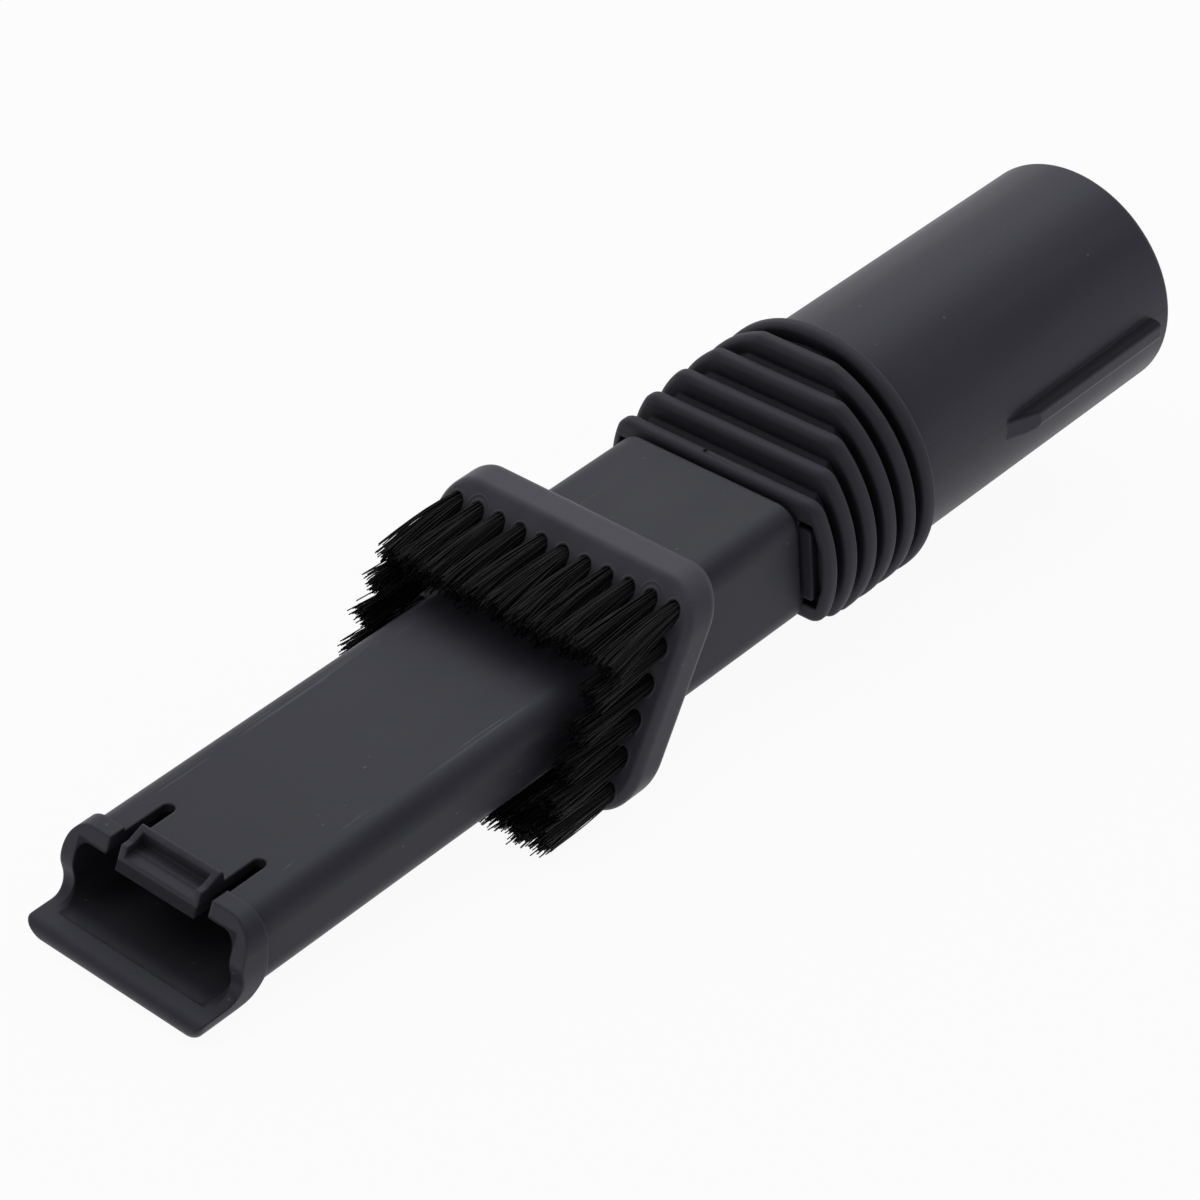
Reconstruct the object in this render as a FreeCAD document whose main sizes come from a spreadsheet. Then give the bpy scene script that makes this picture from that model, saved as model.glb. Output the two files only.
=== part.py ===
import FreeCAD, Part
import math
import os
import Sketcher

# Crevice tool with a sliding brush collar: a flat nozzle, a ribbed bellows and a round socket for the wand.
# X runs along the air way. The origin is the centre of the socket's rim, the mouth points to -X and +Z is up.

SIZES = {
    # Round socket that slides over the wand
    "socket_outside": 38.5,
    "socket_bore": 35.0,
    "socket_length": 59.8,
    "bore_depth": 52.0,
    "rim_round": 0.7,
    "spigot_outside": 33.5,
    "spigot_wall": 1.5,
    "spigot_length": 6.8,
    "rib_front": 40.8,
    "rib_rear": 5.1,
    "rib_width": 3.4,
    "rib_height": 2.1,
    "rib_round": 1.0,
    "rib_ramp": 5.5,
    "rib_root": 0.8,
    # Ribbed bellows, round at the socket and flattened at the nozzle
    "ridge_count": 6,
    "ridge_pitch": 4.46,
    "ridge_width": 2.6,
    "ridge_rise": 2.35,
    "ridge_round": 1.0,
    "ridge_corner": 3.0,
    "lip_rise": 0.5,
    "flat_step": 2.46,
    "valley_depth": 2.75,
    "bellows_tail": 0.5,
    "fit_gap": 0.05,
    "cuff_side": 1.1,
    "cuff_height": 12.6,
    "cuff_gap": 1.2,
    "cuff_round": 0.6,
    "cuff_groove": 1.6,
    "crest_wall": 1.4,
    "gate_width": 9.6,
    "gate_offset": 1.6,
    "gate_reach": 1.4,
    "gate_depth": 0.35,
    # Rear part of the nozzle, with the neck that plugs into the bellows
    "groove_gap": 0.9,
    "rear_width": 34.6,
    "rear_height": 20.3,
    "rear_corner": 4.0,
    "rear_length": 32.8,
    "rear_edge_round": 0.8,
    "neck_width": 31.2,
    "neck_height": 14.6,
    "neck_corner": 3.3,
    "neck_wall": 1.5,
    "neck_length": 9.0,
    "funnel_length": 12.0,
    # Flat front tube
    "tube_length": 86.4,
    "tube_width": 34.0,
    "tube_height": 12.1,
    "tube_corner": 3.8,
    "wall": 1.6,
    "side_wall": 1.5,
    "floor_wall": 1.6,
    # Mouth: rim, ears, scooped front edge and lip, measured back from the tip of the lip
    "rim_depth": 13.8,
    "rim_lean": 2.2,
    "rim_heel": 6.0,
    "rim_side": 1.1,
    "rim_waist": 1.5,
    "waist_round": 17.0,
    "rim_tuck": 0.6,
    "ear_corner": 4.4,
    "ear_rise": 0.5,
    "lip_drop": 1.0,
    "ear_setback": 11.15,
    "brow_setback": 8.05,
    "brow_drop": 5.55,
    "brow_round": 4.0,
    "cheek_setback": 8.15,
    "cheek_round": 3.0,
    "lip_thickness": 3.0,
    "lip_land": 3.8,
    "lip_round": 1.2,
    "lip_top_round": 1.6,
    "lip_inset": 0.4,
    "lip_corner": 2.8,
    # Snap tongue between two slots, with a ramped catch
    "tongue_width": 15.6,
    "slot_width": 2.3,
    "slot_setback": 21.3,
    "catch_setback": 15.3,
    "catch_rise": 1.65,
    "catch_ramp": 4.2,
    "nose_drop": 2.7,
    "nose_reach": 1.8,
    "catch_wall": 1.1,
    "catch_sink": 0.85,
    "catch_round": 0.35,
    # Sliding brush collar
    "slant": 34.5,
    "collar_thickness": 6.7,
    "collar_side": 6.5,
    "collar_top": 9.2,
    "collar_bottom": 6.35,
    "collar_corner": 6.5,
    "collar_edge": 1.4,
    "hole_corner": 4.0,
    "slide_gap": 0.3,
    "seat_gap": 0.2,
    # Bristle tufts in the collar's front face
    "tufts_across": 11,
    "tufts_down": 6,
    "tuft_base": 2.1,
    "tuft_tip": 3.2,
    "tuft_depth": 3.8,
    "tuft_length": 15.0,
    "tuft_gap": 0.12,
    "tuft_inset": 3.8,
    "tuft_inset_top": 3.55,
}

doc = FreeCAD.newDocument("crevice_tool")
sheet = doc.addObject("Spreadsheet::Sheet", "sizes")
for row, (name, number) in enumerate(SIZES.items(), start=1):
    sheet.set(f"A{row}", name)
    sheet.set(f"B{row}", str(number))
    sheet.setAlias(f"B{row}", name)
doc.recompute()

UP = FreeCAD.Vector(0, 0, 1)
# Places, or volumes, that differ by less than this count as the same
NEAR = 1e-4

# Places along X, as distances from the socket's rim towards the mouth
RIDGE_RUN = "(sizes.ridge_count - 1) * sizes.ridge_pitch"
BELLOWS_FRONT = f"(sizes.socket_length + sizes.bellows_tail + sizes.ridge_width + {RIDGE_RUN})"
REAR_END = f"({BELLOWS_FRONT} + sizes.groove_gap)"
SHOULDER = f"({REAR_END} + sizes.rear_length)"
TIP = f"({SHOULDER} + sizes.tube_length)"
COLLAR_REAR = f"({SHOULDER} + sizes.seat_gap)"
COLLAR_FRONT = f"({COLLAR_REAR} + sizes.collar_thickness)"
# A cut that has to leave the part runs this far past it
CLEAR = "(sizes.rear_height + sizes.rear_width)"
# Corner radius of a box whose end is all but round, as a share of the box's width
ROUND_END = "0.49"

HALF_TUBE = "(sizes.tube_height / 2)"
# Edges of the mouth's rim, and of the collar's hole and outline around it
RIM_WIDTH = "(sizes.tube_width + 2 * sizes.rim_side)"
RIM_TOP = f"({HALF_TUBE} + sizes.ear_rise)"
RIM_BOTTOM = f"({HALF_TUBE} + sizes.lip_drop)"
HOLE_WIDTH = f"({RIM_WIDTH} + 2 * sizes.slide_gap)"
HOLE_TOP = f"({RIM_TOP} + sizes.slide_gap)"
HOLE_BOTTOM = f"({RIM_BOTTOM} + sizes.slide_gap)"
COLLAR_WIDTH = f"({HOLE_WIDTH} + 2 * sizes.collar_side)"
COLLAR_TOP = f"({HOLE_TOP} + sizes.collar_top)"
COLLAR_BOTTOM = f"({HOLE_BOTTOM} + sizes.collar_bottom)"
# A tuft spreads evenly along its length, and its hole clears it where it leaves the slanted face
TUFT_RUN = "(sizes.tuft_depth + sizes.tuft_length)"
TUFT_SPREAD = f"((sizes.tuft_tip - sizes.tuft_base) * (sizes.tuft_depth + sizes.tuft_base / 2) / {TUFT_RUN})"
TUFT_HOLE = f"(sizes.tuft_base + {TUFT_SPREAD} + 2 * sizes.tuft_gap)"


def amount(expression):
    """Number that an expression over the sheet gives, in millimetres."""
    return float(doc.getObject("probe").evalExpression(expression))


def plane(body, role):
    """Origin plane of a body, by its role."""
    return next(item for item in body.Origin.OriginFeatures if item.Role == role)


def new_sketch(body, name, role, offset=None):
    """Sketch on one of the body's own origin planes, moved along the plane's normal by an expression."""
    sketch = body.newObject("Sketcher::SketchObject", name)
    sketch.AttachmentSupport = [(plane(body, role), "")]
    sketch.MapMode = "FlatFace"
    if offset:
        sketch.setExpression("AttachmentOffset.Base.z", offset)
    return sketch


def section(body, name, distance):
    """Sketch across the air way, this far from the rim towards the mouth: its x is Y and its y is Z."""
    return new_sketch(body, name, "YZ_Plane", f"-1 * {distance}")


def side_view(body, name):
    """Sketch in the middle plane: its x is X and its y is Z."""
    return new_sketch(body, name, "XZ_Plane")


def bind(sketch, expression, kind, *items):
    """Constraint of a sketch that takes its value from the sheet."""
    index = sketch.addConstraint(Sketcher.Constraint(kind, *items, amount(expression)))
    sketch.setExpression(f"Constraints[{index}]", expression)


def tie(sketch, kind, *items):
    """Constraint of a sketch that has no value."""
    sketch.addConstraint(Sketcher.Constraint(kind, *items))


def outline(sketch, corners):
    """Closed outline of straight sides. A corner is an x, a y and, if rounded, a radius, as expressions."""
    points = [FreeCAD.Vector(amount(x), amount(y), 0) for x, y, *_ in corners]
    radii = [amount(rest[0]) if rest else 0.0 for _, _, *rest in corners]
    count = len(points)
    along = [(points[(k + 1) % count] - points[k]).normalize() for k in range(count)]
    trims = []
    for k in range(count):
        turn = along[k - 1].getAngle(along[k])
        trims.append(radii[k] * math.tan(turn / 2))
    sides = []
    for k in range(count):
        start = points[k] + along[k] * trims[k]
        end = points[(k + 1) % count] - along[k] * trims[(k + 1) % count]
        sides.append(sketch.addGeometry(Part.LineSegment(start, end), False))
    for k, (x, y, *rest) in enumerate(corners):
        before = sides[k - 1]
        after = sides[k]
        if not rest:
            tie(sketch, "Coincident", before, 2, after, 1)
            bind(sketch, x, "DistanceX", -1, 1, after, 1)
            bind(sketch, y, "DistanceY", -1, 1, after, 1)
            continue
        left_turn = along[k - 1].cross(along[k]).z > 0
        inward = UP.cross(along[k - 1]) * (1 if left_turn else -1)
        entry = points[k] - along[k - 1] * trims[k]
        leaving = points[k] + along[k] * trims[k]
        centre = entry + inward * radii[k]
        first, last = (entry, leaving) if left_turn else (leaving, entry)
        from_angle = math.atan2(first.y - centre.y, first.x - centre.x)
        to_angle = math.atan2(last.y - centre.y, last.x - centre.x)
        circle = Part.Circle(centre, UP, radii[k])
        arc = sketch.addGeometry(Part.ArcOfCircle(circle, from_angle, to_angle), False)
        mark = sketch.addGeometry(Part.Point(points[k]), True)
        tie(sketch, "Tangent", before, 2, arc, 1 if left_turn else 2)
        tie(sketch, "Tangent", arc, 2 if left_turn else 1, after, 1)
        tie(sketch, "PointOnObject", mark, 1, before)
        tie(sketch, "PointOnObject", mark, 1, after)
        bind(sketch, x, "DistanceX", -1, 1, mark, 1)
        bind(sketch, y, "DistanceY", -1, 1, mark, 1)
        bind(sketch, rest[0], "Radius", arc)


def rounded_box(sketch, width, top, bottom, corner, low_corner=None):
    """Rounded rectangle, centred sideways, from `bottom` below the axis to `top` above it."""
    right = f"{width} / 2"
    left = f"-1 * {width} / 2"
    under = f"-1 * {bottom}"
    low = low_corner or corner
    outline(sketch, [(left, under, low), (right, under, low), (right, top, corner), (left, top, corner)])


def disc(sketch, diameter, y="0", z="0"):
    """Circle in a section sketch, centred on the axis or at a place given as expressions."""
    centre = FreeCAD.Vector(amount(y), amount(z), 0)
    circle = sketch.addGeometry(Part.Circle(centre, UP, amount(diameter) / 2), False)
    bind(sketch, y, "DistanceX", -1, 1, circle, 3)
    bind(sketch, z, "DistanceY", -1, 1, circle, 3)
    bind(sketch, diameter, "Diameter", circle)


def flattened_disc(sketch, radius, flat, corner):
    """Disc cut by two level flats, this far above and below the axis, with rounded corners."""
    reach = amount(radius)
    small = amount(corner)
    high = amount(flat)
    corner_z = high - small
    corner_y = math.sqrt((reach - small) ** 2 - corner_z ** 2)
    lean = math.atan2(corner_z, corner_y)
    top = sketch.addGeometry(Part.LineSegment(
        FreeCAD.Vector(corner_y, high, 0), FreeCAD.Vector(-corner_y, high, 0)), False)
    bottom = sketch.addGeometry(Part.LineSegment(
        FreeCAD.Vector(-corner_y, -high, 0), FreeCAD.Vector(corner_y, -high, 0)), False)
    whole = Part.Circle(FreeCAD.Vector(0, 0, 0), UP, reach)
    right = sketch.addGeometry(Part.ArcOfCircle(whole, -lean, lean), False)
    left = sketch.addGeometry(Part.ArcOfCircle(whole, math.pi - lean, math.pi + lean), False)
    rounds = []
    for y, z, start, end in (
            (corner_y, corner_z, lean, math.pi / 2), (-corner_y, corner_z, math.pi / 2, math.pi - lean),
            (-corner_y, -corner_z, math.pi + lean, 1.5 * math.pi),
            (corner_y, -corner_z, 1.5 * math.pi, -lean)):
        circle = Part.Circle(FreeCAD.Vector(y, z, 0), UP, small)
        rounds.append(sketch.addGeometry(Part.ArcOfCircle(circle, start, end), False))
    chain = [right, rounds[0], top, rounds[1], left, rounds[2], bottom, rounds[3]]
    for k, piece in enumerate(chain):
        tie(sketch, "Tangent", piece, 2, chain[(k + 1) % len(chain)], 1)
    for arc in (right, left):
        tie(sketch, "Coincident", arc, 3, -1, 1)
        bind(sketch, radius, "Radius", arc)
    for arc in rounds:
        bind(sketch, corner, "Radius", arc)
    tie(sketch, "Horizontal", top)
    tie(sketch, "Horizontal", bottom)
    bind(sketch, flat, "DistanceY", -1, 1, top, 1)
    bind(sketch, flat, "DistanceY", bottom, 1, -1, 1)


def feature(body, kind, sketch, length, reverse=False, symmetric=False):
    """Pad or pocket of a sketch. A pad grows along the sketch's normal and a pocket cuts against it."""
    made = body.newObject(f"PartDesign::{kind}", f"{sketch.Name}_{kind.lower()}")
    made.Profile = sketch
    made.setExpression("Length", length)
    made.Reversed = reverse
    if symmetric:
        made.SideType = "Symmetric"
    doc.recompute()
    return made


def pad(body, sketch, length, **options):
    return feature(body, "Pad", sketch, length, **options)


def pocket(body, sketch, length, **options):
    """Pocket that has to take something away."""
    before = body.Tip.Shape.Volume
    made = feature(body, "Pocket", sketch, length, **options)
    if made.Shape.Volume > before - NEAR:
        raise RuntimeError(f"{made.Name} cuts nothing")
    return made


def round_edges(body, name, radius, wanted):
    """Fillet of those edges of the body so far that the test `wanted` picks."""
    base = body.Tip
    chosen = [f"Edge{k}" for k, edge in enumerate(base.Shape.Edges, start=1) if wanted(edge)]
    made = body.newObject("PartDesign::Fillet", name)
    made.Base = (base, chosen)
    made.setExpression("Radius", radius)
    doc.recompute()
    return made


def edge_span(edge, axis):
    """Lowest and highest place of an edge along X, Y or Z."""
    box = edge.BoundBox
    return {"x": (box.XMin, box.XMax), "y": (box.YMin, box.YMax), "z": (box.ZMin, box.ZMax)}[axis]


def lies_at(edge, axis, place):
    """True where the whole edge lies at one place along an axis."""
    low, high = edge_span(edge, axis)
    return abs(low - place) < NEAR and abs(high - place) < NEAR


def new_body(name):
    body = doc.addObject("PartDesign::Body", name)
    body.Label = name
    return body


def make_socket():
    """Round tube with a stop inside, a spigot for the bellows and a ramped key rib on either side."""
    body = new_body("wand_socket")
    barrel = section(body, "barrel", "sizes.socket_length")
    disc(barrel, "sizes.socket_outside")
    pad(body, barrel, "sizes.socket_length")
    spigot = section(body, "spigot", "sizes.socket_length")
    disc(spigot, "sizes.spigot_outside")
    pad(body, spigot, "sizes.spigot_length", reverse=True)
    make_rib(body, "left", 1)
    make_rib(body, "right", -1)
    bore = section(body, "bore", "0")
    disc(bore, "sizes.socket_bore")
    pocket(body, bore, "sizes.bore_depth")
    passage = section(body, "passage", "0")
    disc(passage, "(sizes.spigot_outside - 2 * sizes.spigot_wall)")
    pocket(body, passage, "(sizes.socket_length + 2 * sizes.spigot_length)")
    inside = amount("sizes.socket_bore") / 2

    def on_outer_rim(edge):
        return lies_at(edge, "x", 0) and edge.BoundBox.ZMax > inside + NEAR

    round_edges(body, "rim_fillet", "sizes.rim_round", on_outer_rim)
    return body


def make_rib(body, name, sign):
    """Key rib along one side of the barrel, with rounded outer edges and a ramp at its front end."""
    root = f"{sign} * (sizes.socket_outside / 2 - sizes.rib_root)"
    skin = f"{sign} * sizes.socket_outside / 2"
    crest = f"{sign} * (sizes.socket_outside / 2 + sizes.rib_height)"
    beyond = f"{sign} * (sizes.socket_outside / 2 + 2 * sizes.rib_height)"
    upper = "sizes.rib_width / 2"
    lower = "-1 * sizes.rib_width / 2"
    bar = section(body, f"rib_{name}", "sizes.rib_front")
    outline(bar, [
        (root, lower), (crest, lower, "sizes.rib_round"), (crest, upper, "sizes.rib_round"), (root, upper)])
    pad(body, bar, "(sizes.rib_front - sizes.rib_rear)")
    ramp = new_sketch(body, f"rib_ramp_{name}", "XY_Plane")
    front = "-1 * sizes.rib_front"
    outline(ramp, [(front, skin), ("-1 * (sizes.rib_front - 2 * sizes.rib_ramp)", beyond), (front, beyond)])
    pocket(body, ramp, "2 * sizes.rib_width", symmetric=True)


def ridge_flats():
    """Height of each ridge's flats, front ridge first, as expressions."""
    first = "(sizes.rear_height / 2 + sizes.lip_rise)"
    return [f"({first} + {k} * sizes.flat_step)" for k in range(int(SIZES["ridge_count"]))]


def make_bellows():
    """Sleeve of rounded ridges. Its flats rise evenly from the nozzle's height to the full round."""
    body = new_body("bellows")
    crest = "(sizes.socket_outside / 2 + sizes.ridge_rise)"
    core = section(body, "core", BELLOWS_FRONT)
    disc(core, f"2 * ({crest} - sizes.valley_depth)")
    pad(body, core, f"({BELLOWS_FRONT} - sizes.socket_length)")
    flats = ridge_flats()
    front_ridge = f"({BELLOWS_FRONT} - sizes.ridge_width / 2)"
    core_front = f"({flats[0]} - sizes.valley_depth - sizes.flat_step)"
    core_rear = f"({core_front} + sizes.flat_step * (sizes.ridge_count + 1))"
    wedge_front = f"-1 * ({front_ridge} + sizes.ridge_pitch)"
    wedge_rear = f"-1 * ({front_ridge} - sizes.ridge_count * sizes.ridge_pitch)"
    for name, sign in (("top", 1), ("bottom", -1)):
        wedge = side_view(body, f"wedge_{name}")
        outline(wedge, [
            (wedge_front, f"{sign} * {core_front}"), (wedge_rear, f"{sign} * {core_rear}"),
            (wedge_rear, f"{sign} * 2 * {crest}"), (wedge_front, f"{sign} * 2 * {crest}")])
        pocket(body, wedge, f"4 * {crest}", symmetric=True)
    for k, flat in enumerate(flats):
        behind = f"({BELLOWS_FRONT} - {k} * sizes.ridge_pitch)"
        ridge = section(body, f"ridge_{k + 1}", behind)
        if amount(flat) < amount(crest) - amount("sizes.ridge_width") / 4:
            flattened_disc(ridge, crest, flat, "sizes.ridge_corner")
        else:
            disc(ridge, f"2 * {crest}")
        pad(body, ridge, "sizes.ridge_width")
        faces = [-amount(behind), -amount(behind) + amount("sizes.ridge_width")]
        outside = amount(crest) - amount("sizes.valley_depth") / 2

        def on_crest(edge, faces=faces, outside=outside, flat=amount(flat)):
            low, high = edge_span(edge, "x")
            if high - low > NEAR or min(abs(low - face) for face in faces) > NEAR:
                return False
            middle = edge.valueAt((edge.FirstParameter + edge.LastParameter) / 2)
            return math.hypot(middle.y, middle.z) > outside or abs(abs(middle.z) - flat) < NEAR

        round_edges(body, f"ridge_{k + 1}_fillet", "sizes.ridge_round", on_crest)
    mark_front_ridge(body, flats[0])
    cut_cuff_groove(body, "left", 1, crest)
    cut_cuff_groove(body, "right", -1, crest)
    neck = section(body, "neck_seat", BELLOWS_FRONT)
    seat_half = "(sizes.neck_height / 2 + sizes.fit_gap)"
    rounded_box(neck, "(sizes.neck_width + 2 * sizes.fit_gap)", seat_half, seat_half,
                "(sizes.neck_corner + sizes.fit_gap)")
    neck_reach = "(sizes.neck_length - sizes.groove_gap)"
    pocket(body, neck, neck_reach, reverse=True)
    spigot = section(body, "spigot_seat", "sizes.socket_length")
    disc(spigot, "(sizes.spigot_outside + 2 * sizes.fit_gap)")
    pocket(body, spigot, "sizes.spigot_length")
    front = section(body, "air_way_front", f"({BELLOWS_FRONT} - {neck_reach})")
    rounded_box(front, *neck_air_way())
    rear = section(body, "air_way_rear", "(sizes.socket_length + sizes.spigot_length)")
    round_way = "(sizes.spigot_outside - 2 * sizes.spigot_wall)"
    rounded_box(rear, round_way, *[f"({round_way} / 2)"] * 2, f"({ROUND_END} * {round_way})")
    loft = body.newObject("PartDesign::SubtractiveLoft", "air_way")
    loft.Profile = front
    loft.Sections = [rear]
    loft.Ruled = True
    doc.recompute()
    return body


def mark_front_ridge(body, flat):
    """Shallow recess on top of the front ridge, along its rear edge."""
    rear = f"-1 * ({BELLOWS_FRONT} - sizes.ridge_width)"
    front = f"-1 * ({BELLOWS_FRONT} - sizes.ridge_width + sizes.gate_reach)"
    left = "(sizes.gate_width / 2 - sizes.gate_offset)"
    right = "-1 * (sizes.gate_width / 2 + sizes.gate_offset)"
    recess = new_sketch(body, "gate_recess", "XY_Plane", flat)
    outline(recess, [(front, right), (rear, right), (rear, left), (front, left)])
    pocket(body, recess, "sizes.gate_depth")


def cut_cuff_groove(body, name, sign, crest):
    """Groove in the front face on one side, which runs round the ends of the cuff that holds the nozzle."""
    inside = f"{sign} * sizes.neck_width / 2 + {sign} * sizes.cuff_round"
    cuff = f"{sign} * (sizes.rear_width / 2 + sizes.cuff_side)"
    outer = f"{sign} * ({crest} - sizes.crest_wall)"
    shoulder = f"{sign} * ({crest} - 2 * sizes.crest_wall)"
    cuff_end = "sizes.cuff_height / 2"
    groove_end = "(sizes.cuff_height / 2 + sizes.cuff_gap)"
    bend = "sizes.cuff_height / 4"
    groove = section(body, f"cuff_groove_{name}", BELLOWS_FRONT)
    outline(groove, [
        (inside, cuff_end), (cuff, cuff_end, "sizes.cuff_round"),
        (cuff, f"-1 * {cuff_end}", "sizes.cuff_round"), (inside, f"-1 * {cuff_end}"),
        (inside, f"-1 * {groove_end}"), (shoulder, f"-1 * {groove_end}"), (outer, f"-1 * {bend}"),
        (outer, bend), (shoulder, groove_end), (inside, groove_end)])
    pocket(body, groove, "sizes.cuff_groove", reverse=True)


def neck_air_way():
    """Width, top, bottom and corner of the air way in the nozzle's neck."""
    height = "(sizes.neck_height / 2 - sizes.neck_wall)"
    width = "(sizes.neck_width - 2 * sizes.neck_wall)"
    return [width, height, height, "(sizes.neck_corner - sizes.neck_wall)"]


def slanted(distance, height):
    """X of a slanted plane that meets the axis at a distance from the rim, at a height above the axis."""
    return f"({height} * tan(sizes.slant) - {distance})"


def cut_slanted(body, name, distance, to_front):
    """Takes away all that lies in front of, or behind, a slanted plane."""
    cut = side_view(body, name)
    far = f"-1 * ({distance} + 2 * {CLEAR})" if to_front else f"-1 * ({distance} - 2 * {CLEAR})"
    corners = [(far, f"-1 * {CLEAR}"), (far, CLEAR)]
    for height in (CLEAR, f"-1 * {CLEAR}"):
        corners.append((slanted(distance, height), height))
    outline(cut, corners)
    return pocket(body, cut, f"2 * {CLEAR}", symmetric=True)


def make_nozzle():
    """Rear tube with a slanted shoulder, flat front tube, scooped mouth with ears, and the snap tongue."""
    body = new_body("nozzle")
    make_rim(body)
    tube = section(body, "front_tube", f"({REAR_END} + sizes.funnel_length)")
    rounded_box(tube, "sizes.tube_width", HALF_TUBE, HALF_TUBE, "sizes.tube_corner")
    pad(body, tube, f"({TIP} - {REAR_END} - sizes.funnel_length - sizes.rim_depth / 2)", reverse=True)
    make_rear_tube(body)
    make_catch(body)
    neck = section(body, "neck", REAR_END)
    rounded_box(neck, "sizes.neck_width", *["(sizes.neck_height / 2)"] * 2, "sizes.neck_corner")
    pad(body, neck, "sizes.neck_length")
    cut_air_way(body)
    thicken_mouth(body)
    cut_mouth(body)
    cut_slots(body)
    return body


def make_rim(body):
    """Raised rim round the mouth. Its rear edge leans forward, and its underside drops to the lip."""
    rim = section(body, "rim", f"({TIP} - sizes.rim_depth)")
    right_side = [
        ("(sizes.tube_width / 2 - sizes.lip_inset)", f"-1 * {RIM_BOTTOM}", "sizes.lip_corner"),
        (f"{RIM_WIDTH} / 2", "-1 * sizes.rim_waist", "sizes.waist_round"),
        (f"{RIM_WIDTH} / 2", RIM_TOP, "sizes.ear_corner")]
    left_side = [(f"-1 * {y}", z, corner) for y, z, corner in reversed(right_side)]
    outline(rim, right_side + left_side)
    pad(body, rim, "sizes.rim_depth", reverse=True)
    tip = -amount(TIP)
    round_edges(body, "lip_edges", "sizes.lip_round", lambda edge: lies_at(edge, "x", tip))
    rear = f"-1 * ({TIP} - sizes.rim_depth)"
    heel = f"-1 * ({TIP} - sizes.rim_depth + sizes.rim_lean)"
    behind = f"-1 * ({TIP} - sizes.rim_depth - {CLEAR})"
    trim = side_view(body, "rim_trim")
    outline(trim, [
        (rear, RIM_TOP), (heel, f"-1 * ({HALF_TUBE} - sizes.rim_tuck)", "sizes.rim_heel"),
        (f"-1 * {TIP}", f"-1 * {RIM_BOTTOM}"),
        (f"-1 * {TIP}", f"-1 * {CLEAR}"), (behind, f"-1 * {CLEAR}"), (behind, RIM_TOP)])
    pocket(body, trim, f"2 * {CLEAR}", symmetric=True)


def make_rear_tube(body):
    """Taller tube behind the collar, cut at a slant in front, with rounded long edges and rear edge."""
    half = "(sizes.rear_height / 2)"
    end = f"-1 * {REAR_END}"
    rear = side_view(body, "rear_tube")
    outline(rear, [
        (slanted(SHOULDER, f"-1 * {half}"), f"-1 * {half}"), (end, f"-1 * {half}"), (end, half),
        (slanted(SHOULDER, half), half)])
    pad(body, rear, "sizes.rear_width", symmetric=True)
    side = amount("sizes.rear_width") / 2
    top = amount(half)

    def on_corner(edge):
        beside = lies_at(edge, "y", side) or lies_at(edge, "y", -side)
        return beside and (lies_at(edge, "z", top) or lies_at(edge, "z", -top))

    round_edges(body, "rear_corners", "sizes.rear_corner", on_corner)
    rear_end = -amount(REAR_END)
    round_edges(body, "rear_edge", "sizes.rear_edge_round", lambda edge: lies_at(edge, "x", rear_end))


def make_catch(body):
    """Raised rim on the tongue, open to the front, whose sides ramp down towards the mouth."""
    rear = f"-1 * ({TIP} - sizes.catch_setback)"
    front = f"-1 * ({TIP} - sizes.catch_setback + sizes.catch_ramp)"
    root = f"({HALF_TUBE} - sizes.wall / 2)"
    crest = f"({HALF_TUBE} + sizes.catch_rise)"
    ramp = side_view(body, "catch")
    outline(ramp, [(front, root), (rear, root), (rear, crest), (front, HALF_TUBE)])
    pad(body, ramp, "sizes.tongue_width", symmetric=True)
    hollow = new_sketch(body, "catch_hollow", "XY_Plane", crest)
    inside = "(sizes.tongue_width / 2 - sizes.catch_wall)"
    back = f"-1 * ({TIP} - sizes.catch_setback + sizes.catch_wall)"
    beyond = f"-1 * ({TIP} + sizes.catch_ramp)"
    outline(hollow, [(beyond, f"-1 * {inside}"), (back, f"-1 * {inside}"), (back, inside), (beyond, inside)])
    pocket(body, hollow, "(sizes.catch_rise + sizes.catch_sink)")
    top = amount(crest)
    round_edges(body, "catch_edges", "sizes.catch_round", lambda edge: lies_at(edge, "z", top))


def cut_mouth(body):
    """Scooped front edge: brow above, cheeks that curve in, and a lip that reaches forward below."""
    lip_top = f"(sizes.lip_thickness - {RIM_BOTTOM})"
    brow_lean = "((sizes.ear_setback - sizes.brow_setback) / sizes.brow_drop)"
    above = f"({RIM_TOP} + {CLEAR})"
    below = f"-1 * {CLEAR}"
    far = f"-1 * ({TIP} + {CLEAR})"
    mouth = side_view(body, "mouth")
    outline(mouth, [
        (f"-1 * ({TIP} - sizes.ear_setback - {brow_lean} * {CLEAR})", above),
        (far, above),
        (far, below),
        (f"-1 * {TIP}", below),
        (f"-1 * {TIP}", lip_top, "sizes.lip_top_round"),
        (f"-1 * ({TIP} - sizes.cheek_setback)", lip_top, "sizes.cheek_round"),
        (f"-1 * ({TIP} - sizes.brow_setback)", f"({RIM_TOP} - sizes.brow_drop)", "sizes.brow_round")])
    pocket(body, mouth, f"2 * {CLEAR}", symmetric=True)


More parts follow.
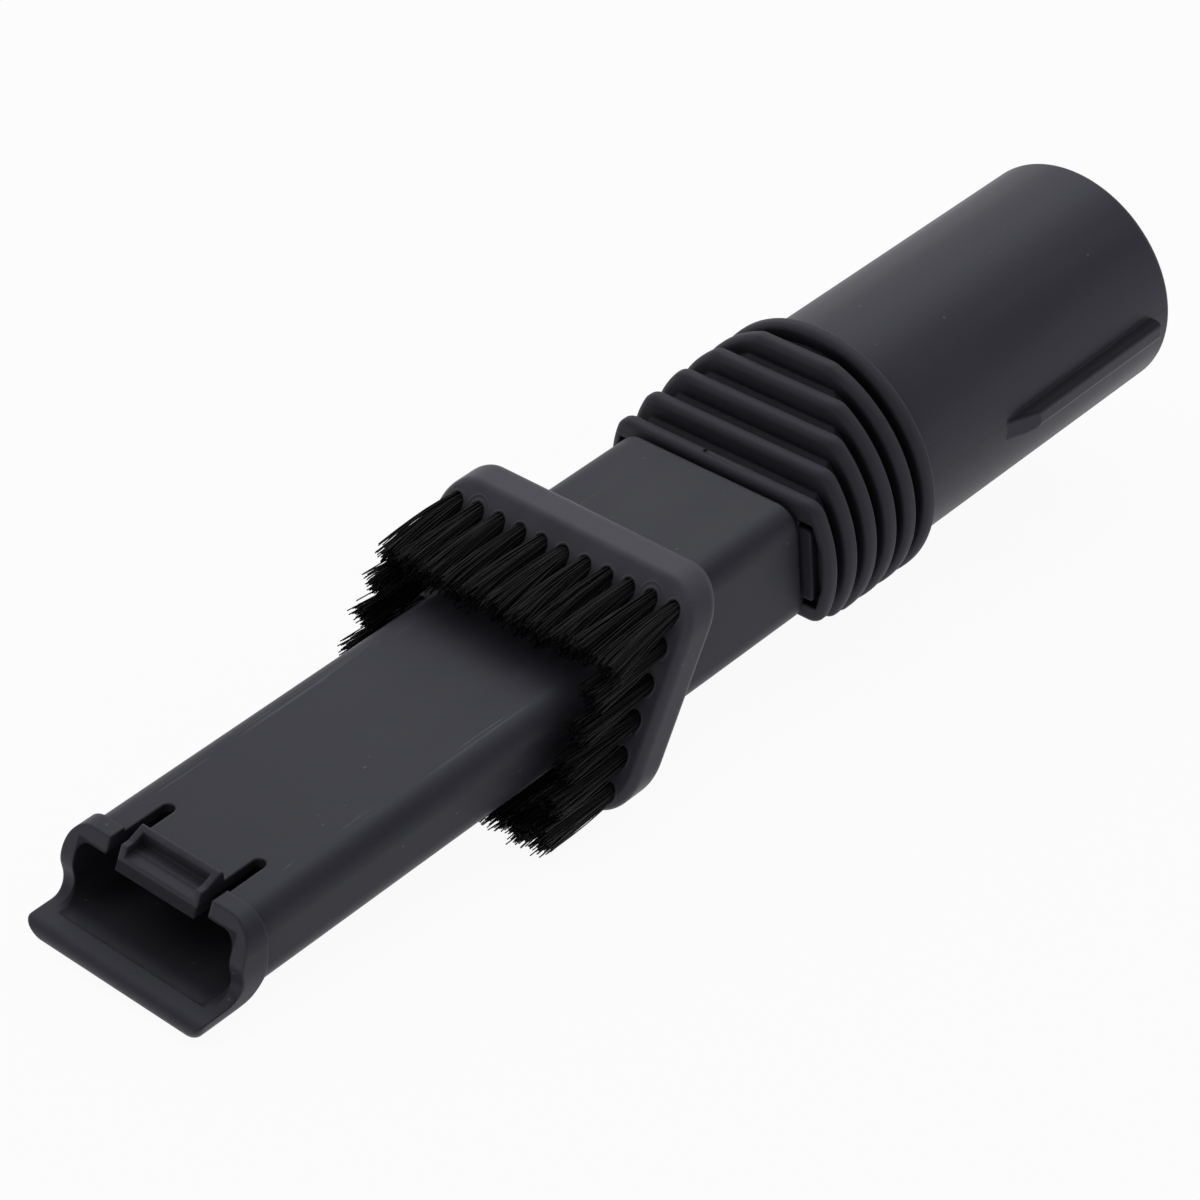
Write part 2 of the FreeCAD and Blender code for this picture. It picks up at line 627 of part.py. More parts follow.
def cut_air_way(body):
    """Air way: flat in the front tube, a funnel behind the shoulder, and the neck's own opening."""
    flat = f"({HALF_TUBE} - sizes.wall)"
    floor = f"({HALF_TUBE} - sizes.floor_wall)"
    flat_width = "(sizes.tube_width - 2 * sizes.side_wall)"
    tall = "(sizes.rear_height / 2 - sizes.wall)"
    funnel_rear = f"({REAR_END} + sizes.wall)"
    funnel_front = f"({funnel_rear} + sizes.funnel_length)"
    front_box = [flat_width, flat, floor, "(sizes.tube_corner - sizes.wall)"]
    straight = section(body, "front_air_way", funnel_front)
    rounded_box(straight, *front_box)
    pocket(body, straight, f"({TIP} - {funnel_front} + sizes.wall)")
    narrow = section(body, "funnel_front", funnel_front)
    rounded_box(narrow, *front_box)
    wide = section(body, "funnel_rear", funnel_rear)
    rounded_box(wide, "(sizes.rear_width - 2 * sizes.wall)", tall, tall, "(sizes.rear_corner - sizes.wall)")
    funnel = body.newObject("PartDesign::SubtractiveLoft", "funnel")
    funnel.Profile = narrow
    funnel.Sections = [wide]
    funnel.Ruled = True
    doc.recompute()
    neck = section(body, "neck_air_way", f"({funnel_rear} + sizes.wall / 2)")
    rounded_box(neck, *neck_air_way())
    pocket(body, neck, "(2 * sizes.wall + sizes.neck_length)", reverse=True)


def thicken_mouth(body):
    """Land behind the lip, and a nose under the tongue's front edge. The cut for the mouth shapes both."""
    front = f"-1 * {TIP}"
    land_rear = f"-1 * ({TIP} - sizes.lip_land)"
    land_root = f"-1 * ({HALF_TUBE} - sizes.floor_wall / 2)"
    land = side_view(body, "lip_land")
    outline(land, [(front, land_root), (land_rear, land_root), (land_rear, "0"), (front, "0")])
    pad(body, land, "(sizes.tube_width - sizes.side_wall)", symmetric=True)
    nose_rear = f"-1 * ({TIP} - sizes.ear_setback - sizes.nose_reach)"
    nose_root = f"({HALF_TUBE} - sizes.wall / 2)"
    nose_low = f"({HALF_TUBE} - sizes.nose_drop)"
    nose = side_view(body, "tongue_nose")
    outline(nose, [(front, nose_low), (nose_rear, nose_low), (nose_rear, nose_root), (front, nose_root)])
    pad(body, nose, "sizes.tongue_width", symmetric=True)


def cut_slots(body):
    """Two slots with round ends that free the tongue from the top wall."""
    top = f"({RIM_TOP} + sizes.catch_rise)"
    rear = f"-1 * ({TIP} - sizes.slot_setback)"
    front = f"-1 * ({TIP} + sizes.slot_width)"
    near = "sizes.tongue_width / 2"
    far = "(sizes.tongue_width / 2 + sizes.slot_width)"
    turn = f"{ROUND_END} * sizes.slot_width"
    for name, sign in (("left", 1), ("right", -1)):
        slot = new_sketch(body, f"slot_{name}", "XY_Plane", top)
        outline(slot, [
            (front, f"{sign} * {near}"), (rear, f"{sign} * {near}", turn),
            (rear, f"{sign} * {far}", turn), (front, f"{sign} * {far}")])
        pocket(body, slot, top)


def tuft_places():
    """Y and Z of each tuft as expressions, row by row from the top: full rows at both ends, pairs between."""
    side = f"({COLLAR_WIDTH} / 2 - sizes.tuft_inset)"
    top = f"({COLLAR_TOP} - sizes.tuft_inset_top)"
    bottom = f"(sizes.tuft_inset - {COLLAR_BOTTOM})"
    across = int(SIZES["tufts_across"])
    down = int(SIZES["tufts_down"])
    rows = []
    for row in range(down):
        z = f"({top} - ({top} - {bottom}) * {row} / ({down} - 1))"
        full = row in (0, down - 1)
        columns = range(across) if full else (0, across - 1)
        rows.append([(f"({side} * (2 * {column} / ({across} - 1) - 1))", z) for column in columns])
    return rows


def make_collar():
    """Slanted ring with rounded edges, a hole for the front tube and a blind hole for each tuft."""
    body = new_body("brush_collar")
    ring = section(body, "ring", f"({COLLAR_FRONT} + {CLEAR})")
    rounded_box(ring, COLLAR_WIDTH, COLLAR_TOP, COLLAR_BOTTOM, "sizes.collar_corner")
    pad(body, ring, f"2 * {CLEAR}")
    cut_slanted(body, "front_face", COLLAR_FRONT, True)
    cut_slanted(body, "rear_face", COLLAR_REAR, False)
    slope = math.tan(math.radians(amount("sizes.slant")))
    ends = (-amount(COLLAR_FRONT), -amount(COLLAR_REAR))

    def on_end_face(edge):
        spots = [edge.valueAt(edge.FirstParameter), edge.valueAt(edge.LastParameter)]
        return any(all(abs(spot.x - slope * spot.z - end) < NEAR for spot in spots) for end in ends)

    round_edges(body, "collar_edges", "sizes.collar_edge", on_end_face)
    hole = section(body, "tube_hole", f"({COLLAR_REAR} - {CLEAR})")
    rounded_box(hole, HOLE_WIDTH, HOLE_TOP, HOLE_BOTTOM, "(sizes.ear_corner + sizes.slide_gap)",
                "sizes.hole_corner")
    pocket(body, hole, f"2 * {CLEAR}")
    for row, places in enumerate(tuft_places(), start=1):
        floor = f"({COLLAR_FRONT} - {places[0][1]} * tan(sizes.slant) - sizes.tuft_depth)"
        holes = section(body, f"tuft_row_{row}", floor)
        for y, z in places:
            disc(holes, TUFT_HOLE, y, z)
        pocket(body, holes, "(sizes.tuft_depth + sizes.collar_thickness)")
    return body


def make_tufts():
    """Tufts of bristle that stand in the collar's holes, point to the mouth and spread a little."""
    tufts = []
    for places in tuft_places():
        for y, z in places:
            name = f"bristle_tuft_{len(tufts) + 1:02d}"
            tuft = doc.addObject("Part::Cone", name)
            tuft.Label = name
            tuft.setExpression("Radius1", "sizes.tuft_base / 2")
            tuft.setExpression("Radius2", "sizes.tuft_tip / 2")
            tuft.setExpression("Height", TUFT_RUN)
            tuft.Placement.Rotation = FreeCAD.Rotation(FreeCAD.Vector(0, 1, 0), -90)
            tuft.setExpression("Placement.Base.x", f"{slanted(COLLAR_FRONT, z)} + sizes.tuft_depth")
            tuft.setExpression("Placement.Base.y", y)
            tuft.setExpression("Placement.Base.z", z)
            tufts.append(tuft)
    return tufts


doc.addObject("App::FeaturePython", "probe")
parts = [make_nozzle(), make_bellows(), make_socket(), make_collar(), *make_tufts()]
doc.recompute()

for item in doc.Objects:
    if "Invalid" in item.State or "Error" in item.State:
        raise RuntimeError(f"{item.Name} failed: {item.State}")
for part in parts:
    if part.Shape.isNull() or not part.Shape.isValid() or len(part.Shape.Solids) != 1:
        raise RuntimeError(f"{part.Label} isn't one valid solid")

os.makedirs("parts", exist_ok=True)
for part in parts:
    part.Shape.exportStep(f"parts/{part.Label}.step")
    print(part.Label, round(part.Shape.Volume, 1))
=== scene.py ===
import bpy
import functools
import math
import random
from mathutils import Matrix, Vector


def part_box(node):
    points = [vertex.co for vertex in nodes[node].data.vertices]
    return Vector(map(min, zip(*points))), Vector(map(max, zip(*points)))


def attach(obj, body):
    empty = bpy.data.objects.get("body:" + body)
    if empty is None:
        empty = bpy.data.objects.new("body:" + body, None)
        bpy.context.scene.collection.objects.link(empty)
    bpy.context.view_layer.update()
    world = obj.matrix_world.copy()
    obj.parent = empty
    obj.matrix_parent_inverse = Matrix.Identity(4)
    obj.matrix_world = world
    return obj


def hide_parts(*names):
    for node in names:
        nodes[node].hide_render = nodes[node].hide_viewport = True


# Dressed model of the crevice tool: moulded plastic, a rubber bellows and tufts of single bristles.
# Lengths are in metres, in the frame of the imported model. Colours are linear values.

MM = 0.001

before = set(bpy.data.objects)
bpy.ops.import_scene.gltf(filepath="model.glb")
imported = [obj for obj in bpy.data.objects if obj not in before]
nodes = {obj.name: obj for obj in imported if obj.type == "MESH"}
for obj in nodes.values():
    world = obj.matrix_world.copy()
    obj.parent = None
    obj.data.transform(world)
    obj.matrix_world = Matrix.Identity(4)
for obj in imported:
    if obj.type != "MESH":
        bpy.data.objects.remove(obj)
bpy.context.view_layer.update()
tuft_count = sum(1 for name in nodes if name.startswith("bristle_tuft_"))

# Camera, as fitted to the photograph: place, turn in degrees, lens and sensor in millimetres, nearest view
CAMERA_PLACE = (-0.41995, -0.32149, 0.33618)
CAMERA_TURN = (52.955, 3.93, -46.877)
LENS = 116.5
SENSOR = 36.0
NEAREST = 0.01

# The tool rests on its lip and on the rear ring of the bellows, given here as X and Z
REST_FRONT = (-0.2053, -0.00705)
REST_REAR = (-0.0616, -0.0216)
FLOOR_HALF = 4.0
FLOOR_GREY = (0.9, 0.9, 0.9)
FLOOR_GLOW = 0.94

# The studio is bright behind the tool and above it, and dim on the side of the camera
BRIGHT_SIDE = (0.62, 0.62, 0.48)
BRIGHT_FADE = (-0.1, 0.75)
BRIGHT = 0.76
DIM = 0.11
HORIZON_FADE = (0.34, 0.12)
# Lamps: name, place, size and power, all aimed at one point
LAMPS = (("overhead", (0.40, 0.30, 0.75), 0.7, 1.6), ("front", (-1.00, -0.40, 0.30), 0.6, 0.9))
LAMP_AIM = (-0.1, 0.0, 0.0)

BLACK = (0.0, 0.0, 0.0)
WHITE = (1.0, 1.0, 1.0)
SHEEN = (0.88, 0.93, 1.0)

# An edge is sharp where its normal turns this far, and a place is free of painted shade where this share
# round it is free
EDGE_TURN = (0.995, 0.80)
EDGE_SAMPLES = 6
PAINTED_SHADE_OPEN = (0.05, 0.75)
PAINTED_SHADE_SAMPLES = 8

# Satin plastic: colours, gloss, roughness from its least value, and how dark the shade painted into its
# recesses is
SHELL = (0.043, 0.0425, 0.056)
SOCKET = (0.050, 0.049, 0.066)
COLLAR = (0.078, 0.077, 0.096)
SHELL_WORN = (0.130, 0.132, 0.145)
SHELL_TONES = (0.78, 1.20)
SHELL_GLOSS = 0.22
SHELL_ROUGH = 0.34
SHELL_ROUGH_SPAN = 0.20
SHELL_EDGE = 0.55 * MM
SHELL_PAINTED_SHADE = 0.35
# Its patterns, as scale, detail and stretch of a noise, and the values between which each one fades in
CLOUDS = (45.0, 4.0)
CLOUD_SHARE = 0.65
FLOW = (1.0, 1.0, (9.0, 190.0, 60.0))
FLOW_SHOWN = (0.35, 0.65)
FLOW_SHARE = 0.35
STREAKS = (1.0, 2.0, (14.0, 1500.0, 1500.0))
STREAKS_SHOWN = (0.665, 0.74)
SCRATCHED_PLACES = (38.0, 2.0, (0.5, 1.0, 1.0))
SCRATCHED_SHOWN = (0.50, 0.66)
SPECK_CELLS = 330.0
SPECK_SHOWN = (0.10, 0.06)
SPECKED_PLACES = (110.0, 3.0)
SPECKED_SHOWN = (0.52, 0.60)
WORN_PLACES = (240.0, 3.0)
WORN_SHOWN = (0.30, 0.75)
WAVES = (28.0, 1.0)
GRAIN = (2600.0, 2.0)
# Its reliefs, as height and strength
WAVE_RELIEF = (0.25 * MM, 0.35)
GRAIN_RELIEF = (0.02 * MM, 0.35)
SCRATCH_RELIEF = (0.02 * MM, 0.5)
OWN_RELIEF = (0.12 * MM, 0.8)
# How strongly each kind of mark shows on it
SCRATCH_PALE = 0.30
SPECK_PALE = 0.60
RUBBED_PALE = 0.42
OWN_PALE = 0.60
# Painted shade: how far its mask darkens the colour, and the roughness added there
PAINTED_SHADE_DARK = 0.5
PAINTED_SHADE_ROUGH = 0.3
SCRATCH_SMOOTH = 0.10

# Rubbed bands along the tube's upper edges
RUB_SIDE = 12.9 * MM
RUB_WIDTH = 1.3 * MM
RUB_ENDS = (-188 * MM, -122 * MM)
RUB_FADE = 8 * MM
RUB_TOP = 1 * MM
RUB_LINES = (1.0, 2.0, (30.0, 2400.0, 300.0))
RUB_LINES_SHOWN = (0.50, 0.62)
RUB_BREAKS = (1.0, 2.0, (130.0, 700.0, 100.0))
RUB_BREAKS_SHOWN = (0.40, 0.56)
# Crease across the catch's floor
CREASE_PLACE = -193.2 * MM
CREASE_HEIGHT = 5.2 * MM
CREASE_HALF = 6.6 * MM
CREASE_WIDTH = 0.2 * MM
CREASE_DEPTH = 0.3 * MM
# Inside of the front tube, darkened with painted shade
DUCT_FRONT = -201.5 * MM
DUCT_SIDE = 15.5 * MM
DUCT_HALF = 4.6 * MM
DUCT_FADE = 0.3 * MM
DUCT_FRONT_FADE = 3 * MM
# Upper flanks of the socket's key ribs, darkened with painted shade
RIB_FOOT = 19.15 * MM
RIB_TOP = 1.7 * MM
RIB_FADE = 0.25 * MM
RIB_FLANK = 0.9 * MM
# Rims of the bristle holes, and wider rings round two of them, in the collar's face
HOLE_RIM = 1.45 * MM
HOLE_RIM_WIDTH = 0.30 * MM
RING_RADIUS = 2.2 * MM
RING_WIDTH = 0.22 * MM
RINGED_TUFTS = (2, 10)
FACE_TURN = (0.5, 0.7)
RIM_PALE = 0.5

# Matte rubber
RUBBER = (0.048, 0.047, 0.061)
RUBBER_WORN = (0.095, 0.096, 0.108)
RUBBER_TONES = (0.80, 1.15)
RUBBER_GLOSS = 0.22
RUBBER_ROUGH = 0.50
RUBBER_ROUGH_SPAN = 0.18
RUBBER_EDGE = 0.6 * MM
# How far the shade painted into its valleys and grooves reaches, and how dark it gets
RUBBER_SHADE_REACH = 6 * MM
RUBBER_PAINTED_SHADE = 0.10
CREST_PALE = 0.25
MOTTLE = (160.0, 5.0)
CREST_PLACES = (300.0, 3.0)
CREST_SHOWN = (0.25, 0.8)
SKIN = (3400.0, 2.0)
SKIN_RELIEF = (0.025 * MM, 0.4)
# Moulding mark on top of its front ridge
GATE_REAR = -83.05 * MM
GATE_REACH = 1.7 * MM
GATE_MIDDLE = -1.6 * MM
GATE_HALF = 4.9 * MM
GATE_FADE = 1 * MM
GATE_FLOOR = 10.3 * MM
GATE_DEPTH = 0.3 * MM
GATE_PALE = 0.6
GATE_STREAKS = (1.0, 2.0, (3200.0, 260.0, 1.0))
GATE_STREAKS_SHOWN = (0.44, 0.62)

# Bristles: colours and gloss
BRISTLE = (0.0075, 0.0075, 0.008)
BRISTLE_PALE = (0.038, 0.038, 0.038)
BRISTLE_TONES = (0.0, 0.45)
BRISTLE_GLOSS = 0.16
BRISTLE_ROUGH = 0.38
BRISTLE_ROUGH_SPAN = 0.2
# Each bristle is a thin tube
FILAMENTS = 130
FILAMENT_WIDTH = 0.19 * MM
FILAMENT_SIDES = 5
FILAMENT_STEPS = 6
FILAMENT_BOW = 0.16 * MM
# Streaks along it
DRAWN = (1.0, 2.0, (60.0, 4000.0, 4000.0))
DRAWN_BASE = 0.5
# A tuft is narrower at its root, and its tips are spread, leaning and trimmed unevenly, longer in the middle
ROOT_SHARE = 0.64
ROOT_INSET = 0.2 * MM
TIP_SPREAD = (1.05, 1.65)
TIP_SHAKE = 0.22 * MM
TUFT_LEAN = 0.25 * MM
TRIMMED = 0.9 * MM
RAGGED = 0.45 * MM
CROWN = 0.4 * MM
GOLDEN_ANGLE = math.pi * (3 - math.sqrt(5))
ANGLE_SHAKE = 0.3
TUFT_SEED = 7919
# The top row droops, and a few bristles are pale and stray
TOP_ROW = 11
TOP_DROOP = 1.5 * MM
STRAY_SHARE = 0.012
STRAY_SHAKE = 1.0 * MM
STRAY_TONE = 1.0


def opaque(colour):
    """Colour with full alpha, as a socket takes it."""
    return (*colour, 1.0)


def shaded(colour, share):
    """Share of a colour, as a socket takes it."""
    return opaque([channel * share for channel in colour])


class Nodes:
    """Short way to build a node tree: it adds a node, sets its sockets and links those given as outputs."""

    def __init__(self, tree):
        self.tree = tree
        tree.nodes.clear()

    def add(self, kind, inputs=None, **settings):
        made = self.tree.nodes.new(kind)
        for name, value in settings.items():
            setattr(made, name, value)
        for name, value in (inputs or {}).items():
            socket = made.inputs[name]
            if isinstance(value, bpy.types.NodeSocket):
                self.tree.links.new(value, socket)
            else:
                socket.default_value = value
        return made

    def math(self, operation, first, second=0.0):
        return self.add("ShaderNodeMath", {0: first, 1: second}, operation=operation).outputs[0]

    def times(self, value, factor):
        return self.math("MULTIPLY", value, factor)

    def line(self, value, slope, start):
        """A start value plus a slope times a value."""
        return self.math("ADD", self.times(value, slope), start)

    def ramp(self, value, low, high):
        """0 at `low`, 1 at `high`, smooth between and level beyond."""
        inputs = {"Value": value, "From Min": low, "From Max": high}
        return self.add("ShaderNodeMapRange", inputs, interpolation_type="SMOOTHSTEP").outputs["Result"]

    def mix(self, amount, first, second):
        """Colour between two colours."""
        made = self.add("ShaderNodeMix", {0: amount, 6: first, 7: second}, data_type="RGBA")
        return made.outputs[2]

    def near(self, value, target, width):
        """1 within a third of a width of a target value, and 0 further off than the width."""
        return self.ramp(self.math("ABSOLUTE", self.math("SUBTRACT", value, target)), width, width / 3)

    def vector(self, operation, first, second):
        return self.add("ShaderNodeVectorMath", {0: first, 1: second}, operation=operation).outputs

    def dot(self, first, second):
        return self.vector("DOT_PRODUCT", first, second)["Value"]

    def split(self, place):
        """X, Y and Z of a place."""
        return self.add("ShaderNodeSeparateXYZ", {"Vector": place}).outputs

    def all_of(self, masks):
        return functools.reduce(self.times, masks)

    def any_of(self, masks):
        return functools.reduce(lambda first, second: self.math("MAXIMUM", first, second), masks)

    def noise(self, place, scale, detail, stretch=(1.0, 1.0, 1.0)):
        """Noise value at a place; a small stretch value draws it out along that axis."""
        drawn = self.add("ShaderNodeMapping", {"Vector": place, "Scale": stretch}).outputs["Vector"]
        inputs = {"Vector": drawn, "Scale": scale, "Detail": detail}
        return self.add("ShaderNodeTexNoise", inputs).outputs["Fac"]

    def pattern(self, place, noise, shown):
        """Mask of the places where a noise pattern shows."""
        return self.ramp(self.noise(place, *noise), *shown)

    def bump(self, mask, relief, normal, sunken=False):
        """Normal of a surface that is raised, or sunken, where a mask is."""
        distance, strength = relief
        inputs = {"Height": mask, "Distance": distance, "Strength": strength, "Normal": normal}
        return self.add("ShaderNodeBump", inputs, invert=sunken).outputs["Normal"]

    def finish(self, inputs):
        """Surface of a material."""
        surface = self.add("ShaderNodeBsdfPrincipled", inputs)
        self.add("ShaderNodeOutputMaterial", {"Surface": surface.outputs["BSDF"]})


def new_material(name):
    made = bpy.data.materials.new(name)
    made.use_nodes = True
    return made, Nodes(made.node_tree)


def edge_mask(tree, radius):
    """1 on sharp edges and 0 on flat places, with the rounded normal that finds them."""
    soft = tree.add("ShaderNodeBevel", {"Radius": radius}, samples=EDGE_SAMPLES).outputs["Normal"]
    plain = tree.add("ShaderNodeNewGeometry").outputs["True Normal"]
    return tree.ramp(tree.dot(soft, plain), *EDGE_TURN), soft


def painted_recess_shade(tree, reach, least):
    """Painted shade: 1 on open surfaces, and less, down to a least value, in grooves and corners and inside
    the tube, where shade falls.
    """
    settings = {"samples": PAINTED_SHADE_SAMPLES, "only_local": True}
    made = tree.add("ShaderNodeAmbientOcclusion", {"Distance": reach}, **settings)
    open_share = tree.ramp(made.outputs["AO"], *PAINTED_SHADE_OPEN)
    return tree.line(open_share, 1.0 - least, least)


def socket_painted_shade(tree, place):
    """Pale marks, raised marks and painted shade of the socket: painted shade along the upper flanks of its
    key ribs.
    """
    _, y, z = tree.split(place)
    flank = tree.ramp(tree.math("ABSOLUTE", y), RIB_FOOT, RIB_FOOT + RIB_FADE)
    return 0.0, 0.0, tree.all_of([flank, tree.near(z, RIB_TOP, RIB_FLANK)])


def tube_marks_and_shade(tree, place):
    """Marks of the nozzle: pale scratches where the collar rubs, a crease in the catch, and painted shade
    inside.
    """
    x, y, z = tree.split(place)
    side = tree.math("ABSOLUTE", y)
    front, rear = RUB_ENDS
    band = tree.all_of([
        tree.near(side, RUB_SIDE, RUB_WIDTH), tree.ramp(z, 0.0, RUB_TOP),
        tree.ramp(x, front, front + RUB_FADE), tree.ramp(x, rear, rear - RUB_FADE),
        tree.pattern(place, RUB_LINES, RUB_LINES_SHOWN), tree.pattern(place, RUB_BREAKS, RUB_BREAKS_SHOWN)])
    crease = tree.all_of([
        tree.near(x, CREASE_PLACE, CREASE_WIDTH), tree.near(z, CREASE_HEIGHT, CREASE_DEPTH),
        tree.ramp(side, CREASE_HALF, CREASE_HALF - CREASE_WIDTH)])
    # Painted shade inside the duct
    inside = tree.all_of([
        tree.ramp(side, DUCT_SIDE + DUCT_FADE, DUCT_SIDE),
        tree.ramp(x, DUCT_FRONT, DUCT_FRONT + DUCT_FRONT_FADE),
        tree.ramp(tree.math("ABSOLUTE", z), DUCT_HALF + DUCT_FADE, DUCT_HALF)])
    return band, crease, inside


def collar_marks(tree, place):
    """Marks of the collar's front face: raised rims round the bristle holes, and wider rings round two."""
    flattened = tree.vector("MULTIPLY", place, (0.0, 1.0, 1.0))["Vector"]
    normal = tree.add("ShaderNodeNewGeometry").outputs["True Normal"]
    facing = tree.dot(normal, (-1.0, 0.0, 0.0))
    away = {}
    for number in range(1, tuft_count + 1):
        low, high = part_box(tuft_name(number))
        middle = (low + high) / 2
        away[number] = tree.vector("DISTANCE", flattened, (0.0, middle.y, middle.z))["Value"]
    nearest = functools.reduce(lambda first, second: tree.math("MINIMUM", first, second), away.values())
    rims = tree.near(nearest, HOLE_RIM, HOLE_RIM_WIDTH)
    rings = tree.any_of([tree.near(away[number], RING_RADIUS, RING_WIDTH) for number in RINGED_TUFTS])
    raised = tree.all_of([tree.ramp(facing, *FACE_TURN), tree.any_of([rims, rings])])
    return tree.times(raised, RIM_PALE), raised, 0.0


def shell_material(name, base, reach, scratched, marks_and_shade_of):
    """Satin moulded plastic: grain, slow unevenness, scratches, specks, rubbed edges, own marks and painted
    shade.
    """
    made, tree = new_material(name)
    place = tree.add("ShaderNodeTexCoord").outputs["Object"]
    clouds = tree.times(tree.noise(place, *CLOUDS), CLOUD_SHARE)
    flow = tree.times(tree.pattern(place, FLOW, FLOW_SHOWN), FLOW_SHARE)
    uneven = tree.math("ADD", clouds, flow)
    scratch = tree.all_of([
        tree.pattern(place, STREAKS, STREAKS_SHOWN),
        tree.pattern(place, SCRATCHED_PLACES, SCRATCHED_SHOWN), scratched])
    dots = tree.add("ShaderNodeTexVoronoi", {"Vector": place, "Scale": SPECK_CELLS}).outputs["Distance"]
    speck = tree.all_of([
        tree.ramp(dots, *SPECK_SHOWN), tree.pattern(place, SPECKED_PLACES, SPECKED_SHOWN)])
    edges, normal = edge_mask(tree, SHELL_EDGE)
    rubbed = tree.all_of([edges, tree.pattern(place, WORN_PLACES, WORN_SHOWN)])
    own_pale, own_height, painted_shade = marks_and_shade_of(tree, place)
    tone = tree.mix(uneven, *[shaded(base, share) for share in SHELL_TONES])
    pale = tree.any_of([
        tree.times(scratch, SCRATCH_PALE), tree.times(speck, SPECK_PALE),
        tree.times(rubbed, RUBBED_PALE), tree.times(own_pale, OWN_PALE)])
    colour = tree.mix(pale, tone, opaque(SHELL_WORN))
    # Painted shade: the colour is mixed towards black in recesses, and where the marks give painted shade
    unshaded = tree.math("SUBTRACT", 1.0, tree.times(painted_shade, PAINTED_SHADE_DARK))
    open_share = tree.all_of([painted_recess_shade(tree, reach, SHELL_PAINTED_SHADE), unshaded])
    colour = tree.mix(open_share, opaque(BLACK), colour)
    rough = tree.line(uneven, SHELL_ROUGH_SPAN, SHELL_ROUGH)
    rough = tree.math("ADD", rough, tree.times(painted_shade, PAINTED_SHADE_ROUGH))
    rough = tree.math("SUBTRACT", rough, tree.times(scratch, SCRATCH_SMOOTH))
    normal = tree.bump(tree.noise(place, *WAVES), WAVE_RELIEF, normal)
    normal = tree.bump(tree.noise(place, *GRAIN), GRAIN_RELIEF, normal)
    normal = tree.bump(scratch, SCRATCH_RELIEF, normal, sunken=True)
    normal = tree.bump(own_height, OWN_RELIEF, normal)
    tree.finish({
        "Base Color": colour, "Roughness": rough, "Normal": normal,
        "Specular IOR Level": SHELL_GLOSS, "Specular Tint": opaque(SHEEN)})
    return made


def rubber_material():
    """Matte rubber: mottled, with a fine skin, crests that are rubbed paler, a streaked moulding mark and
    painted shade in its valleys.
    """
    made, tree = new_material("matte_rubber")
    place = tree.add("ShaderNodeTexCoord").outputs["Object"]
    mottle = tree.noise(place, *MOTTLE)
    edges, normal = edge_mask(tree, RUBBER_EDGE)
    rubbed = tree.all_of([edges, tree.pattern(place, CREST_PLACES, CREST_SHOWN)])
    x, y, z = tree.split(place)
    sideways = tree.math("ABSOLUTE", tree.math("SUBTRACT", y, GATE_MIDDLE))
    gate = tree.all_of([
        tree.near(x, GATE_REAR, GATE_REACH), tree.near(z, GATE_FLOOR, GATE_DEPTH),
        tree.ramp(sideways, GATE_HALF, GATE_HALF - GATE_FADE),
        tree.pattern(place, GATE_STREAKS, GATE_STREAKS_SHOWN)])
    tone = tree.mix(mottle, *[shaded(RUBBER, share) for share in RUBBER_TONES])
    pale = tree.any_of([tree.times(rubbed, CREST_PALE), tree.times(gate, GATE_PALE)])
    colour = tree.mix(pale, tone, opaque(RUBBER_WORN))
    # Painted shade: the colour is mixed towards black in the valleys and grooves
    colour = tree.mix(painted_recess_shade(tree, RUBBER_SHADE_REACH, RUBBER_PAINTED_SHADE), opaque(BLACK), colour)
    tree.finish({
        "Base Color": colour, "Roughness": tree.line(mottle, RUBBER_ROUGH_SPAN, RUBBER_ROUGH),
        "Normal": tree.bump(tree.noise(place, *SKIN), SKIN_RELIEF, normal),
        "Specular IOR Level": RUBBER_GLOSS, "Specular Tint": opaque(SHEEN)})
    return made


def bristle_material():
    """Black drawn bristle: each one has its own tone, and streaks run along it."""
    made, tree = new_material("black_bristle")
    tone = tree.add("ShaderNodeAttribute", attribute_name="tone").outputs["Fac"]
    place = tree.add("ShaderNodeTexCoord").outputs["Object"]
    drawn = tree.noise(place, *DRAWN)
    paleness = tree.times(tone, tree.math("ADD", drawn, DRAWN_BASE))
    tree.finish({
        "Base Color": tree.mix(paleness, opaque(BRISTLE), opaque(BRISTLE_PALE)),
        "Roughness": tree.line(drawn, BRISTLE_ROUGH_SPAN, BRISTLE_ROUGH),
        "Specular IOR Level": BRISTLE_GLOSS})
    return made


def dress(name, material):
    """Gives a CAD node its material."""
    for slot in nodes[name].material_slots:
        slot.material = material


def sideways_shake(rng, amount):
    """Random shift across the bristles, which run along X."""
    return Vector((0.0, rng.gauss(0, amount), rng.gauss(0, amount)))


def filament_path(rng, root, tip, lean):
    """Centre line of one bristle: bowed a little to one side, and leaning more and more towards its tip."""
    bow = sideways_shake(rng, FILAMENT_BOW)
    line = []
    for step in range(FILAMENT_STEPS + 1):
        share = step / FILAMENT_STEPS
        line.append(root.lerp(tip, share) + lean * share ** 2 + bow * math.sin(math.pi * share))
    return line


def add_tube(points, faces, tones, line, tone):
    """Adds one bristle to a mesh: a thin tube along a line that runs roughly along X, closed at its tip."""
    first = len(points)
    for centre in line:
        for side in range(FILAMENT_SIDES):
            angle = 2 * math.pi * side / FILAMENT_SIDES
            offset = Vector((0.0, math.cos(angle), math.sin(angle))) * FILAMENT_WIDTH / 2
            points.append(centre + offset)
            tones.append(tone)
    for step in range(len(line) - 1):
        for side in range(FILAMENT_SIDES):
            here = first + step * FILAMENT_SIDES + side
            beside = first + step * FILAMENT_SIDES + (side + 1) % FILAMENT_SIDES
            faces.append((here, here + FILAMENT_SIDES, beside + FILAMENT_SIDES, beside))
    last = first + (len(line) - 1) * FILAMENT_SIDES
    faces.append([last + side for side in range(FILAMENT_SIDES)])


def tuft_name(number):
    """Name of a CAD tuft."""
    return f"bristle_tuft_{number:02d}"


